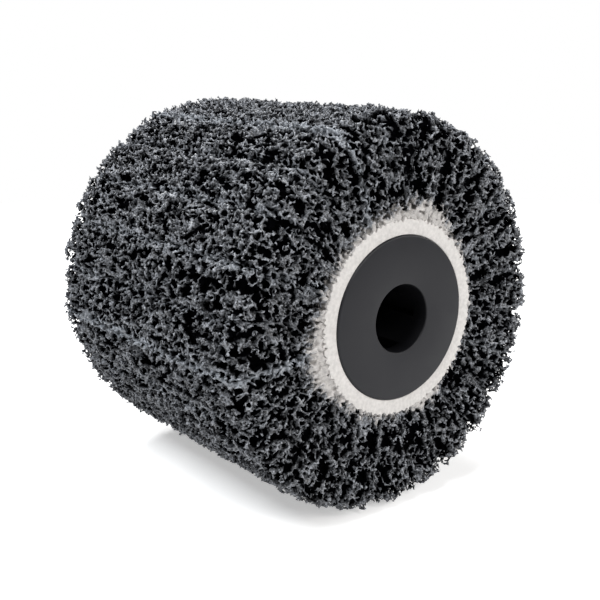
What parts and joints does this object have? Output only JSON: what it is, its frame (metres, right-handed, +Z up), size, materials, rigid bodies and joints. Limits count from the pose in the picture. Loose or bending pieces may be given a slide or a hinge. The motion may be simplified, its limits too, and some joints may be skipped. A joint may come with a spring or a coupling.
{
  "type": "drum wheel brush",
  "caption": "Drum wheel brush of radial open nylon web flaps bonded round a plastic hub with a keyed bore, for stripping and finishing surfaces.",
  "frame": {"origin": "the wheel's centre: on the bore's axis, halfway between the hub's two end faces", "axes": "+Y along the bore's axis, away from the front face; +Z up when the drum lies on its side; +X to the right seen from the front"},
  "size_m": [0.11, 0.096, 0.11],
  "materials": {
    "hub_plastic": "smooth moulded black plastic, satin",
    "resin": "off-white cast epoxy, dull, with soaked web at its edge",
    "nylon_web": "coarse open nylon web coated in black resin and grit, satin"
  },
  "bodies": {
    "root": {"hub_core": "hub_plastic", "bond_resin": "resin", "web_flap_01": "nylon_web", "web_flap_02": "nylon_web", "web_flap_03": "nylon_web", "web_flap_04": "nylon_web", "web_flap_05": "nylon_web", "web_flap_06": "nylon_web", "web_flap_07": "nylon_web", "web_flap_08": "nylon_web", "web_flap_09": "nylon_web", "web_flap_10": "nylon_web", "web_flap_11": "nylon_web", "web_flap_12": "nylon_web", "web_flap_13": "nylon_web", "web_flap_14": "nylon_web", "web_flap_15": "nylon_web", "web_flap_16": "nylon_web", "web_flap_17": "nylon_web", "web_flap_18": "nylon_web", "web_flap_19": "nylon_web", "web_flap_20": "nylon_web", "web_flap_21": "nylon_web", "web_flap_22": "nylon_web", "web_flap_23": "nylon_web", "web_flap_24": "nylon_web"}
  },
  "joints": []
}
